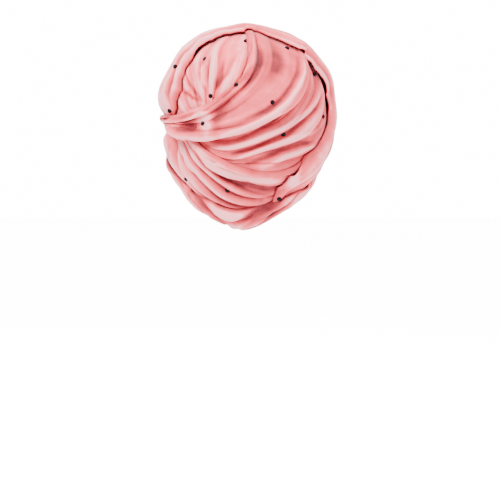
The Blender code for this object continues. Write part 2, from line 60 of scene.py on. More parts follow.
# Cloth
CAP_TOP = 89.9           # elevation of the cap's innermost ring, in degrees
CAP_PAINTED_LIGHT = 0.3            # level of painted shade and highlight over the whole cap, near the shaded end
CLOTH = 0.0013           # velvet of a band
SHARP_ANGLE = 55.0       # edges sharper than this, in degrees, stay crisp
CLEARANCE = 0.0003       # between pieces that touch
RIM_ROWS_UNDER = 0.15    # share of the rim that lies under the drape's tail
DRAPE_ROWS_OVER = 0.33   # share of the drape that lies over the rim's end

# Mesh counts
ROWS_PER_STEP = 8
COLUMNS_PER_FOLD = 20
ROLL_STEPS = 36
ROLL_COLUMNS = 44
SEAT_ROWS = 3            # rows of a mesh for each row of the grid that seats it
SEAT_COLUMNS = 3
TAUT_ROUNDS = 60
CAP_SPOKES = 96
CAP_RINGS = 40

# Twist of the nape roll
ROLL_TWISTS = 7.2        # creases between the strands along the roll
ROLL_SLANT = 2.0         # and across it
ROLL_MIDDLE = 0.48       # share of its length where the strands from both sides meet
ROLL_MEETING = 0.04      # share of its length over which they turn there
STRAND_SHARE = 0.75      # depth of those creases, as a share of the roll's depth
STRAND_POWER = 0.6       # the lower, the fuller the strands

# Rhinestones: sizes in metres, then counts and shares
STONE_WIDTH = 0.0052
STONE_RISE = 0.0019
STONE_TABLE = 0.0028
STONE_GIRDLE = 0.0004
STONE_SIDES = 8
STONE_BREAK = 0.62       # where its facets change slope, as a share of its rise and girdle together
STONE_PROBES = (0.25, 0.5)    # radii of the rings of points that seat it, as shares of its width
PROBES_ROUND = 12        # points in each of those rings

# The head's middle, and the distance from it at which rays inward start, outside everything
MIDDLE = Vector((0.0, 0.0, -CROWN_RISE))
FAR = 2 * HEAD_LENGTH

# The outer hem: azimuth without its sign, elevation
HEM = (
    (0, -59), (14, -59), (24, -57), (36, -52), (50, -47), (70, -42),
    (90, -35), (110, -24), (130, -11), (150, 0), (180, 7),
)

# Each band is a table of stations from its gathered end to its far end. A station holds the
# azimuth and elevation of the band's upper edge, the same for its lower edge, and its
# fullness as a share of the fold height. Its folds lie side by side from the upper edge to
# the lower. A fold holds, at five places along the band, its share of the width, its height,
# and how high the crease after it stays, as a share of the lower of the two folds there.
BANDS = {
    "crown_fan": {
        "steps": 12,
        "stations": (
            (-38, -8, -18, 6, 0.15),
            (-50, -6, -9, 14, 0.40),
            (-61, -4, -3, 26, 0.60),
            (-70, 1, 2, 40, 0.65),
            (-77, 7, 6, 54, 0.55),
            (-82, 11, 14, 66, 0.30),
            (-92, 14, 24, 76, 0.15),
        ),
        "folds": (
            ((0.17, 0.17, 0.17, 0.17, 0.18), (0.60, 0.50, 0.50, 0.40, 0.30), (0.35, 0.35, 0.35, 0.35, 0.35)),
            ((0.16, 0.15, 0.15, 0.15, 0.15), (0.80, 0.70, 0.60, 0.50, 0.30), (0.30, 0.30, 0.30, 0.30, 0.30)),
            ((0.15, 0.15, 0.14, 0.15, 0.16), (0.80, 0.70, 0.60, 0.50, 0.30), (0.30, 0.30, 0.30, 0.30, 0.30)),
            ((0.13, 0.12, 0.12, 0.14, 0.15), (1, 1, 0.90, 0.70, 0.40), (0.25, 0.25, 0.25, 0.25, 0.25)),
            ((0.14, 0.13, 0.13, 0.13, 0.14), (1, 1, 1, 0.70, 0.40), (0.25, 0.25, 0.25, 0.25, 0.25)),
            ((0.25, 0.28, 0.29, 0.26, 0.22), (0.70, 0.70, 0.60, 0.50, 0.30), (0.50, 0.50, 0.50, 0.50, 0.50)),
        ),
    },
    "cross_wrap": {
        "steps": 20,
        "stations": (
            (-52, -5, -54, -9, 0.20),
            (-40, -6, -42, -13, 0.35),
            (-30, -7, -31, -19, 0.50),
            (-20, -7, -19, -26, 0.60),
            (-8, -5, -6, -31, 0.65),
            (4, 0, 9, -34, 0.65),
            (16, 6, 29, -35, 0.65),
            (27, 14, 51, -32, 0.65),
            (37, 24, 71, -25, 0.60),
            (45, 36, 87, -13, 0.55),
            (52, 48, 95, 6, 0.35),
            (58, 58, 100, 24, 0.05),
        ),
        "folds": (
            ((0.30, 0.48, 0.26, 0.14, 0.14), (0.40, 0.40, 0.40, 0.40, 0.30), (0.60, 0.60, 0.60, 0.60, 0.60)),
            ((0.30, 0.28, 0.15, 0.16, 0.20), (0.80, 0.90, 0.90, 0.60, 0.40), (0.30, 0.30, 0.30, 0.30, 0.30)),
            ((0.20, 0.16, 0.21, 0.30, 0.30), (0.80, 0.90, 1, 0.90, 0.50), (0.25, 0.25, 0.25, 0.25, 0.25)),
            ((0.10, 0.04, 0.20, 0.28, 0.20), (0.60, 0.60, 0.80, 0.60, 0.40), (0.30, 0.30, 0.30, 0.30, 0.30)),
            ((0.10, 0.04, 0.18, 0.12, 0.16), (0.50, 0.60, 0.85, 0.80, 0.50), (0.30, 0.30, 0.30, 0.30, 0.30)),
        ),
    },
    "nape_wrap": {
        "steps": 18,
        "stations": (
            (-56, -4, -70, -6, 0.00),
            (-49, -7, -90, -10, 0.25),
            (-41, -10, -99, -18, 1.20),
            (-33, -17, -100, -25, 1.40),
            (-25, -22, -90, -35, 1.40),
            (-15, -26, -69, -46, 0.95),
            (-1, -30, -50, -54, 0.65),
            (14, -32, -26, -59, 0.50),
            (29, -31, 4, -59, 0.30),
            (42, -27, 28, -53, 0.10),
            (50, -23, 46, -47, 0.00),
        ),
        "folds": (
            ((0.18, 0.07, 0.21, 0.38, 0.50), (1, 0.60, 1, 0.90, 0.60), (0.30, 0.30, 0.30, 0.30, 0.30)),
            ((0.14, 0.06, 0.11, 0.17, 0.15), (0.80, 0.50, 0.70, 0.60, 0.40), (0.30, 0.30, 0.30, 0.30, 0.30)),
            ((0.14, 0.07, 0.13, 0.13, 0.12), (0.80, 0.60, 0.90, 0.80, 0.50), (0.25, 0.25, 0.25, 0.25, 0.25)),
            ((0.16, 0.12, 0.19, 0.11, 0.10), (0.80, 0.70, 0.90, 0.50, 0.30), (0.25, 0.25, 0.25, 0.25, 0.25)),
            ((0.17, 0.20, 0.17, 0.10, 0.08), (0.80, 1, 0.90, 0.40, 0.30), (0.30, 0.30, 0.30, 0.30, 0.30)),
            ((0.21, 0.48, 0.19, 0.11, 0.05), (0.80, 0.95, 0.70, 0.30, 0.20), (0.30, 0.30, 0.30, 0.30, 0.30)),
        ),
    },
    "brow_wrap": {
        "steps": 20,
        "stations": (
            (-94, 0, -92, -8, 0.00),
            (-101, 6, -98, -19, 0.25),
            (-111, 11, -109, -23, 0.50),
            (-127, 18, -126, -13, 0.60),
            (-145, 24, -146, -2, 0.60),
            (-163, 29, -164, 5, 0.60),
            (180, 31, 180, 7, 0.60),
            (163, 31, 164, 5, 0.60),
            (145, 29, 146, -2, 0.60),
            (128, 25, 129, -11, 0.55),
            (114, 20, 114, -20, 0.35),
            (102, 14, 103, -26, 0.10),
        ),
        "folds": (
            ((0.28, 0.30, 0.30, 0.28, 0.28), (0.80, 0.90, 0.80, 0.70, 0.60), (0.35, 0.35, 0.35, 0.35, 0.35)),
            ((0.22, 0.20, 0.22, 0.26, 0.26), (0.90, 0.80, 0.70, 0.60, 0.50), (0.40, 0.40, 0.40, 0.40, 0.40)),
            ((0.24, 0.24, 0.23, 0.20, 0.22), (0.80, 0.80, 0.90, 0.90, 0.70), (0.30, 0.30, 0.30, 0.30, 0.30)),
            ((0.26, 0.26, 0.25, 0.26, 0.24), (0.90, 0.90, 0.80, 0.80, 0.60), (0.30, 0.30, 0.30, 0.30, 0.30)),
        ),
    },
    "front_wrap": {
        "steps": 16,
        "stations": (
            (-88, 5, -96, 0, 0.00),
            (-92, 20, -102, 6, 0.30),
            (-100, 36, -114, 10, 0.50),
            (-112, 54, -130, 17, 0.50),
            (-140, 66, -149, 23, 0.45),
            (180, 72, -170, 28, 0.40),
            (146, 68, 168, 29, 0.40),
            (124, 57, 147, 27, 0.40),
            (112, 44, 128, 23, 0.12),
            (104, 31, 114, 17, 0.00),
        ),
        "folds": (
            ((0.32, 0.34, 0.36, 0.34, 0.32), (0.60, 0.60, 0.50, 0.50, 0.40), (0.50, 0.50, 0.50, 0.50, 0.50)),
            ((0.24, 0.24, 0.24, 0.22, 0.22), (0.80, 0.80, 0.70, 0.60, 0.50), (0.35, 0.35, 0.35, 0.35, 0.35)),
            ((0.22, 0.20, 0.20, 0.22, 0.24), (0.90, 1, 0.90, 0.80, 0.60), (0.30, 0.30, 0.30, 0.30, 0.30)),
            ((0.22, 0.22, 0.20, 0.22, 0.22), (0.90, 0.90, 1, 0.90, 0.70), (0.30, 0.30, 0.30, 0.30, 0.30)),
        ),
    },
    "crown_drape": {
        "steps": 26,
        "stations": (
            (-114, -4, -114, -8, 0.05),
            (-88, -2, -88, -7, 0.35),
            (-66, -2, -66, -9, 0.65),
            (-48, -1, -47, -11, 0.85),
            (-36, 2, -36, -14, 0.85),
            (-26, 5, -25, -15, 0.75),
            (-19, 9, -13, -13, 0.65),
            (-12, 14, 1, -10, 0.60),
            (-5, 21, 14, -4, 0.60),
            (-1, 30, 27, 3, 0.60),
            (0, 40, 38, 13, 0.55),
            (-1, 50, 47, 26, 0.50),
            (-2, 60, 55, 40, 0.30),
            (-6, 68, 68, 52, 0.12),
            (-14, 75, 86, 60, 0.05),
        ),
        "folds": (
            ((0.45, 0.42, 0.20, 0.16, 0.14), (1, 1, 1, 1, 0.80), (0.35, 0.75, 0.60, 0.45, 0.50)),
            ((0.10, 0.14, 0.24, 0.24, 0.26), (0.40, 0.70, 0.80, 0.70, 0.50), (0.85, 0.95, 1, 1, 1)),
            ((0.10, 0.14, 0.40, 0.46, 0.46), (0.40, 0.80, 0.75, 0.60, 0.50), (0.55, 0.85, 0.85, 0.65, 0.50)),
            ((0.35, 0.30, 0.16, 0.14, 0.14), (0.90, 1, 0.95, 1, 0.80), (0.50, 0.50, 0.50, 0.50, 0.50)),
        ),
    },
    "rim_wrap": {
        "steps": 34,
        "stations": (
            (-58, -3, -104, -5, 0.30),
            (-54, 5, -108, 5, 0.95),
            (-52, 14, -110, 15, 1.20),
            (-54, 27, -114, 28, 1.10),
            (-56, 40, -122, 42, 1.20),
            (-54, 50, -134, 54, 1.00),
            (-40, 59, -154, 63, 0.65),
            (-10, 65, 180, 67, 0.40),
            (22, 61, 160, 64, 0.30),
            (43, 50, 142, 58, 0.45),
            (57, 38, 128, 48, 0.70),
            (67, 25, 120, 36, 0.95),
            (75, 13, 117, 23, 1.00),
            (77, 1, 116, 9, 0.90),
            (73, -9, 115, -4, 0.80),
            (61, -17, 112, -16, 0.70),
            (46, -24, 106, -28, 0.80),
            (37, -29, 92, -38, 0.85),
            (29, -35, 74, -45, 0.65),
            (22, -42, 54, -50, 0.35),
            (18, -51, 32, -53, 0.15),
        ),
        "folds": (
            ((0.30, 0.26, 0.27, 0.28, 0.27), (0.90, 0.90, 0.90, 0.90, 0.80), (0.30, 0.30, 0.30, 0.30, 0.30)),
            ((0.38, 0.42, 0.42, 0.40, 0.38), (1, 1, 1, 0.90, 0.70), (0.35, 0.35, 0.35, 0.35, 0.35)),
            ((0.32, 0.32, 0.31, 0.32, 0.35), (0.90, 0.90, 0.80, 0.70, 0.60), (0.40, 0.40, 0.40, 0.40, 0.40)),
        ),
    },
    "side_knot": {
        "steps": 11,
        "stations": (
            (-109, 4, -118, 5, 0.10),
            (-106, 1, -123, 2, 0.35),
            (-105, -4, -126, -4, 0.50),
            (-105, -9, -126, -10, 0.50),
            (-107, -14, -123, -15, 0.35),
            (-110, -18, -118, -18, 0.10),
        ),
        "folds": (
            ((0.34, 0.30, 0.28, 0.30, 0.36), (0.80, 0.90, 0.90, 0.90, 0.80), (0.30, 0.30, 0.30, 0.30, 0.30)),
            ((0.36, 0.42, 0.44, 0.40, 0.30), (0.90, 1, 1, 1, 0.90), (0.30, 0.30, 0.30, 0.30, 0.30)),
            ((0.30, 0.28, 0.28, 0.30, 0.34), (0.80, 0.80, 0.90, 0.80, 0.80), (0.30, 0.30, 0.30, 0.30, 0.30)),
        ),
    },
}

# Nape roll: azimuth and elevation of its upper and lower edge, and its fullness, at each station
ROLL = (
    (-97, -26, -99, -29, 0.00),
    (-88, -33, -91, -39, 0.40),
    (-76, -40, -79, -46, 0.55),
    (-62, -45, -66, -52, 0.65),
    (-46, -48, -49, -57, 0.90),
    (-28, -51, -31, -62, 1.00),
    (-8, -53, -10, -66, 1.00),
    (12, -51, 14, -63, 0.90),
    (28, -46, 34, -55, 0.60),
    (39, -44, 44, -51, 0.45),
    (52, -44, 56, -51, 0.35),
    (65, -43, 68, -48, 0.25),
    (77, -41, 79, -44, 0.00),
)

# Rhinestones: azimuth and elevation of each
STONES = (
    (-2, 52), (41, 47), (-36, 36), (-62, 29), (64, 27), (-7, 16), (-23, 10), (14, 6), (-59, 1),
    (66, -3), (-26, -6), (22, -13), (-54, -41), (-15, -44), (23, -47), (-108, -5), (-120, 5),
    (-135, 10), (-151, 19), (-167, 12), (178, 22), (163, 11), (143, 8), (-122, 32), (-141, 44),
    (-160, 36), (180, 52), (160, 38), (143, 46), (-98, 22), (-112, 42), (-133, 60), (170, 65),
    (146, 58), (124, 44), (108, 20), (103, -4),
)

# Uneven folds
SEED_SHIFT = (7.3, 3.1, 5.7)    # how far the noise moves on for each seed
WANDER = 0.22            # share by which a fold's width varies along a band
WANDER_STEPS = 4         # steps of a band over which it does
SWELL = 0.22             # share by which its height varies
SWELL_PACE = 1.4         # how many times as quickly as the width
SWELL_SHIFT = 9          # place of the height's noise beside the width's
LEAN = 0.55              # how far a fold leans over the crease after it, as a share of its rise
FOLD_POWERS = (1.8, 0.65)    # a higher first or a lower second one makes a fold fuller
PLEAT = 0.0009           # height of the small folds, in metres
PLEATS_ALONG = 1.6       # small folds along a band, for each length of the head's radius
PLEATS_ACROSS = 22.0     # and across it
PLEAT_SEED = 20
PLEAT_FULL = 0.35        # share of the fold height from which small folds have their whole height
PLEAT_LEAST = 0.15       # share of it that they keep where a band is thin
CREASE_END = 0.02        # share of a crease at each end that fades no further

# Painted shade and highlight: 0 is the deepest painted shade, in a crease, and 1 the palest painted
# highlight, on a crest
PAINTED_LIGHT_BASE = 0.15          # at the foot of a fold
PAINTED_LIGHT_SIDE = 0.35          # added with a fold's rise
PAINTED_LIGHT_LIFT = 0.30          # added at its middle
PAINTED_LIGHT_LEAST = 0.3          # share of both that a flat fold keeps
PAINTED_LIGHT_RELIEF = 1.8         # added for small folds and creases, for each fold height

# How a band's edges lie
HUG = 0.16               # share of a band's width along each edge that bends to the cloth below
HUG_REST = 0.12          # share of the hollow under an edge that stays

# Creases and ridges: band, height added, half width, and a line of azimuths and elevations
CREASES = (
    ("crown_drape", 0.0022, 0.0028, ((4, 42), (2, 30), (-4, 25), (-12, 17), (-20, 11), (-28, 6))),
    ("crown_drape", -0.0030, 0.0040, ((10, 45), (8, 32), (4, 24), (-2, 17))),
    ("crown_drape", -0.0028, 0.0045, ((-9, 8), (-15, 2), (-19, -4), (-20, -10))),
    ("crown_drape", 0.0028, 0.0050, ((-33, 0), (-26, -1), (-23, -6), (-23, -12))),
    ("crown_drape", -0.0060, 0.0030, ((-44, -8), (-37, -8), (-30, -8))),
    ("crown_drape", -0.0022, 0.0022, ((-20, 2), (-27, 1), (-34, -1), (-44, -4), (-58, -5))),
    ("crown_drape", 0.0014, 0.0020, ((-25, 3), (-33, 1), (-44, -1), (-58, -2))),
    ("crown_drape", -0.0018, 0.0060, ((26, 44), (24, 32), (18, 22))),
    ("crown_drape", 0.0034, 0.0022, (
        (48, 37), (41, 25), (33, 16), (24, 7), (15, 0), (5, -5), (-5, -9), (-14, -12),
    )),
    ("crown_drape", -0.0030, 0.0020, ((44, 37), (36, 25), (28, 16), (19, 7), (10, 1), (0, -3))),
    ("cross_wrap", -0.0040, 0.0018, (
        (58, 37), (43, 24), (35, 15), (25, 6), (19, -1), (12, -6), (2, -10),
    )),
    ("cross_wrap", 0.0034, 0.0022, (
        (65, 18), (51, 8), (37, -1), (23, -8), (12, -13), (1, -17), (-10, -20), (-22, -20),
    )),
    ("cross_wrap", -0.0040, 0.0018, (
        (64, 13), (51, 3), (36, -5), (24, -12), (13, -16), (2, -20), (-9, -23),
    )),
    ("cross_wrap", 0.0028, 0.0022, ((70, -6), (46, -13), (28, -15), (13, -18), (3, -22), (-8, -26))),
    ("cross_wrap", -0.0038, 0.0018, ((51, -19), (35, -19), (21, -21), (11, -25), (0, -28))),
    ("cross_wrap", 0.0024, 0.0022, ((55, -21), (40, -22), (24, -25), (14, -29), (3, -30))),
    ("nape_wrap", 0.0030, 0.0026, (
        (-39, -11), (-33, -19), (-23, -26), (-12, -31), (0, -34), (13, -37), (26, -39),
    )),
    ("nape_wrap", -0.0042, 0.0020, ((-34, -22), (-27, -31), (-14, -37), (0, -39), (14, -43), (25, -43))),
    ("nape_wrap", -0.0030, 0.0018, ((-40, -33), (-35, -40), (-24, -47), (-10, -51), (4, -53))),
    ("nape_wrap", -0.0028, 0.0018, ((-62, -20), (-70, -30), (-64, -40), (-50, -48))),
    ("nape_wrap", -0.0032, 0.0015, ((-55, -14), (-52, -24), (-40, -37), (-25, -47), (-10, -51))),
    ("nape_wrap", 0.0018, 0.0020, ((-50, -14), (-47, -24), (-35, -36), (-20, -46), (0, -51))),
    ("nape_wrap", -0.0030, 0.0014, ((-49, -12), (-42, -23), (-31, -34), (-14, -44), (10, -49))),
    ("nape_wrap", 0.0018, 0.0020, ((-43, -14), (-37, -24), (-26, -34), (-10, -42), (13, -48))),
    ("nape_wrap", -0.0028, 0.0014, ((-43, -13), (-33, -24), (-21, -34), (-6, -41), (16, -47))),
    ("rim_wrap", 0.0030, 0.0045, ((11, -33), (21, -33), (30, -32), (30, -37), (23, -39))),
    ("rim_wrap", 0.0028, 0.0020, (
        (-55, 6), (-54, 14), (-56, 27), (-58, 40), (-55, 51), (-41, 60), (-10, 66), (8, 65),
    )),
    ("rim_wrap", -0.0036, 0.0022, ((-60, 48), (-62, 38), (-60, 26), (-58, 14), (-58, 6))),
    ("rim_wrap", -0.0036, 0.0032, ((-72, 38), (-67, 28), (-67, 19), (-77, 13))),
    ("rim_wrap", 0.0028, 0.0060, ((-78, 7), (-66, 6), (-57, 3))),
    ("rim_wrap", 0.0026, 0.0022, ((20, 62), (40, 53), (55, 40), (66, 27), (74, 15), (77, 3), (73, -8))),
    ("rim_wrap", -0.0030, 0.0025, ((62, 41), (71, 28), (79, 15), (82, 4))),
    ("crown_fan", -0.0032, 0.0020, ((-19, 34), (-18, 22), (-20, 15))),
    ("crown_fan", 0.0032, 0.0022, ((-25, 35), (-23, 26), (-24, 19), (-23, 12))),
    ("crown_fan", -0.0032, 0.0018, ((-30, 36), (-28, 25), (-25, 13))),
    ("crown_fan", 0.0026, 0.0020, ((-36, 32), (-31, 20), (-25, 11))),
    ("crown_fan", -0.0032, 0.0018, ((-41, 36), (-35, 25), (-30, 17), (-25, 11))),
    ("crown_fan", -0.0028, 0.0018, ((-54, 26), (-46, 20), (-37, 13), (-28, 7))),
    ("crown_fan", -0.0026, 0.0016, ((-52, 14), (-46, 13), (-37, 9), (-30, 7))),
    ("crown_fan", -0.0020, 0.0025, ((-9, 39), (-14, 24), (-21, 15))),
    ("hem_roll", -0.0050, 0.0022, ((-12, -57), (3, -54), (17, -51), (26, -46))),
    ("hem_roll", -0.0050, 0.0022, ((-13, -62), (5, -57), (18, -54), (29, -48))),
    ("hem_roll", -0.0045, 0.0022, ((-2, -64), (14, -60), (25, -54), (34, -48))),
    ("hem_roll", -0.0050, 0.0022, ((-58, -46), (-46, -51), (-34, -57), (-24, -62))),
    ("hem_roll", -0.0050, 0.0022, ((-44, -49), (-30, -54), (-20, -59), (-12, -65))),
)

# Velvet: its surface, and its colour at four values of the painted light, from painted shade in the creases
# to painted highlight on the crests, with patches and streaks added
VELVET = {
    "Roughness": 0.7,
    "Specular IOR Level": 0.25,
    "Sheen Weight": 0.5,
    "Sheen Roughness": 0.32,
    "Sheen Tint": (1.0, 0.62, 0.67, 1.0),
}
VELVET_RAMP = (
    (0.26, (0.120, 0.004, 0.010, 1.0)),
    (0.55, (0.54, 0.036, 0.050, 1.0)),
    (0.84, (0.93, 0.118, 0.142, 1.0)),
    (1.0, (1.0, 0.340, 0.375, 1.0)),
)
BRUSHED = {"Scale": 55.0, "Detail": 4.0, "Roughness": 0.6}    # patches of brushed pile
PILE = {"Scale": 2600.0, "Detail": 2.0}
STREAKS = {"Scale": 1.0, "Detail": 3.0, "Roughness": 0.55}
STREAKS_IN_METRE = (24.0, 230.0, 1.0)    # along and across the cloth
BRUSHED_SHARE = 0.35     # how much the patches add to the painted shade and highlight value
STREAKS_SHARE = 0.35     # how much the streaks do
PILE_BUMP = {"Strength": 0.35, "Distance": 0.0003}
STREAKS_BUMP = {"Strength": 0.5, "Distance": 0.0009}

# Crystal: its surface and its two colours
CRYSTAL = {"Roughness": 0.06, "Specular IOR Level": 0.05}
CRYSTAL_RAMP = (
    (0.0, (0.002, 0.002, 0.003, 1.0)),
    (1.0, (0.010, 0.008, 0.010, 1.0)),
)
CRYSTAL_CLOUD = {"Scale": 420.0, "Detail": 2.0}

# Painted highlight added all over some bands, which makes them paler
PAINTED_HIGHLIGHT = {
    "crown_fan": 0.22, "rim_wrap": 0.10, "nape_wrap": 0.03, "hem_roll": 0.05, "brow_wrap": 0.05,
}

# Lights: name, place, size and power
LIGHTS = (
    ("key", (1.2, 1.3, 1.3), 0.7, 120.0),
    ("fill", (-1.8, 1.2, 0.1), 0.9, 62.0),
    ("top", (-0.2, 0.1, 1.7), 0.8, 60.0),
    ("front", (0.6, -1.9, 0.8), 1.6, 80.0),
)
WHITE = (1.0, 1.0, 1.0, 1.0)
WORLD = 0.45             # light from all round
BACKDROP = 16.0          # brightness of what shows behind the object
GLOW = 14.0              # the same for the floor
FLOOR = -0.62            # height of the floor
FLOOR_HALF = 6.0         # half its side
FLOOR_COLOR = (0.92, 0.92, 0.92, 1.0)
FLOOR_ROUGHNESS = 0.9

# Camera, in millimetres, degrees and metres
LENS = 130.9
SENSOR = 36.0
TILT = 5.0               # how far it looks down
DISTANCE = 2.0           # from the head's middle
DROP = 0.152             # how far below that middle it aims
SHIFT = -0.0022          # how far beside it, along X


def direction(azimuth, elevation):
    """Unit vector from the head's middle."""
    az, el = math.radians(azimuth), math.radians(elevation)
    return (-math.sin(az) * math.cos(el), math.cos(az) * math.cos(el), math.sin(el))


def unit(vectors):
    """Each vector at length 1."""
    return vectors / np.linalg.norm(vectors, axis=-1, keepdims=True)


def head_radius(dirs):
    """Distance from the head's middle to its surface."""
    down = np.minimum(dirs[..., 2], 0)
    side = HEAD_WIDTH / 2 * (1 - NECK_TAPER * down ** 2)
    depth = np.full(down.shape, HEAD_LENGTH / 2)
    height = np.where(down < 0, NAPE_DROP, CROWN_RISE)
    return 1 / np.linalg.norm(dirs / np.stack([side, depth, height], axis=-1), axis=-1)


def smooth(rows, places):
    """Catmull-Rom curve through evenly spaced rows, at each place from 0 to 1."""
    rows = np.asarray(rows, dtype=float)
    padded = np.vstack([2 * rows[0] - rows[1], rows, 2 * rows[-1] - rows[-2]])
    spot = np.asarray(places) * (len(rows) - 1)
    start = np.minimum(spot.astype(int), len(rows) - 2)
    t = (spot - start)[:, None]
    a, b, c, d = (padded[start + k] for k in range(4))
    bend = 2 * a - 5 * b + 4 * c - d
    twist = 3 * b - a - 3 * c + d
    return (2 * b + (c - a) * t + bend * t ** 2 + twist * t ** 3) / 2


def hem_elevation(azimuth):
    """Elevation of the outer hem at an azimuth, from -180 to 180."""
    return float(np.interp(abs(azimuth), *zip(*HEM)))


def ripple(points, seed):
    """Smooth noise from -1 to 1 at each point of an array of three numbers."""
    flat = points.reshape(-1, 3)
    shift = Vector([seed * step for step in SEED_SHIFT])
    values = [noise.noise(Vector(p) + shift) for p in flat]
    return np.array(values).reshape(points.shape[:-1])


def reach(dirs, trees):
    """Outermost radius of the pieces in trees along each direction, never inside the cap."""
    radii = head_radius(dirs) + CAP_WALL
    for index in np.ndindex(radii.shape):
        ray = Vector(dirs[index])
        for tree in trees:
            hit = tree.ray_cast(MIDDLE + ray * FAR, -ray, FAR)
            if hit[0] is not None:
                radii[index] = max(radii[index], FAR - hit[3])
    return radii


def neighbours(values):
    """A grid of numbers and its eight shifted copies, with the outermost numbers repeated."""
    padded = np.pad(values, 1, mode="edge")
    rows, columns = values.shape
    return [padded[i:i + rows, j:j + columns] for i in range(3) for j in range(3)]


def taut(dirs, radii):
    """Cloth pulled straight between the peaks of what it covers, its edges along themselves."""
    floor = radii
    for _ in range(TAUT_ROUNDS):
        spots = dirs * radii[..., None]
        mean = spots.copy()
        sides = spots[:-2, 1:-1] + spots[2:, 1:-1] + spots[1:-1, :-2] + spots[1:-1, 2:]
        mean[1:-1, 1:-1] = sides / 4
        for edge in (0, -1):
            mean[1:-1, edge] = (spots[:-2, edge] + spots[2:, edge]) / 2
            mean[edge, 1:-1] = (spots[edge, :-2] + spots[edge, 2:]) / 2
        radii = np.maximum(floor, (mean * dirs).sum(axis=-1))
    return radii


def spread(values, rows, columns):
    """A grid of numbers read at a finer grid of evenly spaced places."""
    values = smooth(values, np.linspace(0, 1, rows))
    return smooth(values.T, np.linspace(0, 1, columns)).T


def seat(dirs, trees):
    """Radius of a band's inner side on the pieces below it."""
    rows, columns = dirs.shape[:2]
    coarse = dirs[::SEAT_ROWS, ::SEAT_COLUMNS]
    peaks = np.max(neighbours(reach(coarse, trees)), axis=0)
    eased = np.mean(neighbours(taut(coarse, peaks)), axis=0)
    fine = spread(eased, rows, columns)
    near = reach(dirs, trees)
    across = np.linspace(0, 1, columns)
    free = np.clip(np.minimum(across, 1 - across) / HUG, 0, 1)
    free = HUG_REST + (1 - HUG_REST) * free * free * (3 - 2 * free)
    return near + np.maximum(fine - near, 0) * free + CLEARANCE


def places_along(steps):
    """Evenly spaced places from 0 to 1, so many that the seating grid ends on the last."""
    return np.linspace(0, 1, steps * ROWS_PER_STEP // SEAT_ROWS * SEAT_ROWS + 1)


def edges(stations, places):
    """Directions along a band's upper and lower edge, and its fullness, at each place."""
    path = smooth([direction(*s[0:2]) + direction(*s[2:4]) + (s[4],) for s in stations], places)
    return unit(path[:, 0:3]), unit(path[:, 3:6]), np.maximum(path[:, 6], 0)


def band_surface(name):
    """Directions over a band, its thickness there, and its painted light: painted shade at the feet of the
    folds, painted highlight on their crests.
    """
    table = BANDS[name]
    places = places_along(table["steps"])
    upper, lower, fullness = edges(table["stations"], places)
    folds = table["folds"]
    seed = sorted(BANDS).index(name) + 1
    line = np.stack([places * table["steps"] / WANDER_STEPS, 0 * places, 0 * places], axis=-1)
    shares, heights, creases = (smooth(np.array(rows).T, places) for rows in zip(*folds))
    heights = heights * fullness[:, None] * FOLD_HEIGHT
    for k in range(len(folds)):
        shares[:, k] *= 1 + WANDER * ripple(line + (0, k, 0), seed)
        heights[:, k] *= 1 + SWELL * ripple(line * SWELL_PACE + (0, k, SWELL_SHIFT), seed)
    shares /= shares.sum(axis=1, keepdims=True)
    feet = [0 * fullness]
    for k in range(len(folds) - 1):
        feet.append(np.minimum(heights[:, k], heights[:, k + 1]) * creases[:, k])
    feet.append(0 * fullness)
    across = unit(lower - upper)
    dirs, thick, crest = [], [], []
    start = 0 * fullness
    for k in range(len(folds)):
        last = k == len(folds) - 1
        tall = np.clip(heights[:, k] / FOLD_HEIGHT, PAINTED_LIGHT_LEAST, 1)
        for s in np.linspace(0, 1, COLUMNS_PER_FOLD, endpoint=False).tolist() + [1.0] * last:
            v = (start + shares[:, k] * s)[:, None]
            foot = feet[k] * (1 - s) + feet[k + 1] * s
            crown = max(0.0, 1 - abs(2 * s - 1) ** FOLD_POWERS[0]) ** FOLD_POWERS[1]
            rise = (heights[:, k] - foot) * crown
            lean = rise * LEAN * math.sin(math.pi * s) / HEAD_WIDTH * 2
            dirs.append(unit(upper * (1 - v) + lower * v + across * lean[:, None]))
            thick.append(foot + rise)
            # painted highlight grows toward a fold's crest, painted shade stays at its foot
            pale = PAINTED_LIGHT_SIDE * crown + PAINTED_LIGHT_LIFT * (1 - abs(2 * s - 1)) ** 2
            crest.append(PAINTED_LIGHT_BASE + pale * tall)
        start = start + shares[:, k]
    return tuple(np.stack(grid, axis=1) for grid in (dirs, thick, crest))


def pleats(dirs, name):
    """Small folds that run along a band, from -1 to 1."""
    along = np.linalg.norm(np.diff(dirs, axis=0), axis=-1).mean(axis=1).sum() * PLEATS_ALONG
    across = np.linalg.norm(np.diff(dirs, axis=1), axis=-1).sum(axis=1).max() * PLEATS_ACROSS
    rows, columns = dirs.shape[:2]
    u, v = np.meshgrid(np.linspace(0, along, rows), np.linspace(0, across, columns), indexing="ij")
    seed = PLEAT_SEED + sorted(surfaces).index(name)
    return ripple(np.stack([u, v, 0 * u], axis=-1), seed)


def near_line(dirs, line):
    """Distance from each direction to a line through directions, and how far along that is."""
    ends = np.array([direction(*spot) for spot in line])
    best = np.full(dirs.shape[:-1], np.inf)
    share = np.zeros(dirs.shape[:-1])
    for k in range(len(ends) - 1):
        a, b = ends[k], ends[k + 1]
        t = np.clip(((dirs - a) @ (b - a)) / ((b - a) @ (b - a)), 0, 1)
        gap = np.linalg.norm(dirs - (a + (b - a) * t[..., None]), axis=-1)
        share = np.where(gap < best, (k + t) / (len(ends) - 1), share)
        best = np.minimum(best, gap)
    return best, share


def relief(dirs, name):
    """Height added by the creases and ridges of a band, in metres."""
    total = np.zeros(dirs.shape[:-1])
    for band, amount, width, line in CREASES:
        if band == name:
            gap, share = near_line(dirs, line)
            fade = np.sin(np.pi * np.clip(share, CREASE_END, 1 - CREASE_END)) ** 0.5
            total += amount * fade * np.exp(-(gap * HEAD_WIDTH / 2 / width) ** 2)
    return total


